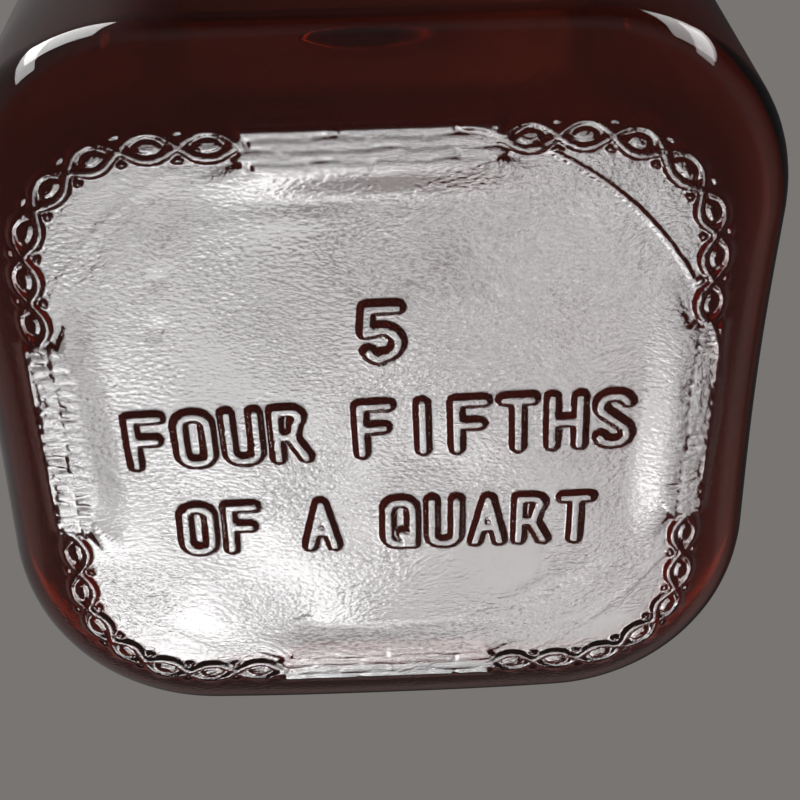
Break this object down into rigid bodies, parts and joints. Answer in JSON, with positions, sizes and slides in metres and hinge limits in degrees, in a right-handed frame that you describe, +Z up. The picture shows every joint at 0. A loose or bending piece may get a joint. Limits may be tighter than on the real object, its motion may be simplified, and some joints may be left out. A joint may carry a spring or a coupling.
{
  "type": "glass bottle",
  "caption": "Square amber glass liquor bottle with a knurled bearing ring, recessed base panel, rounded shoulder, threaded neck and lined aluminium screw cap with a loose tamper band",
  "frame": {"origin": "centre of the base, on the surface that the bottle stands on", "axes": "+Z up along the bottle's axis, front towards -Y, +X to the right seen from the front"},
  "size_m": [0.08, 0.08, 0.2432],
  "materials": {
    "amber_glass": "fire polished moulded amber glass",
    "moulded_core": "moulded",
    "drawn_aluminium": "drawn, gold lacquered",
    "pulpboard": "raw pressed pulp",
    "facing_film": "smooth film"
  },
  "bodies": {
    "bottle": {"glass_bottle": "amber_glass"},
    "liner": {"liner_board": "pulpboard", "liner_facing": "facing_film"},
    "cap": {"cap_core": "moulded_core", "cap_shell": "drawn_aluminium"},
    "band": {"tamper_band": "drawn_aluminium"}
  },
  "joints": [
    {"name": "cap_rise", "type": "slide", "parent": "bottle", "child": "liner", "axis": [0, 0, 1], "range_m": [0, 0.0189]},
    {"name": "cap_turn", "type": "hinge", "parent": "liner", "child": "cap", "pos_m": [0, 0, 0.233], "axis": [0, 0, 1], "range_deg": [0, 1620]},
    {"name": "band_spin", "type": "hinge", "parent": "bottle", "child": "band", "pos_m": [0, 0, 0.2205], "axis": [0, 0, 1], "continuous": true}
  ],
  "couplings": [
    {"joint": "cap_rise", "follows": "cap_turn", "m_per_rad": 0.00066845}
  ]
}
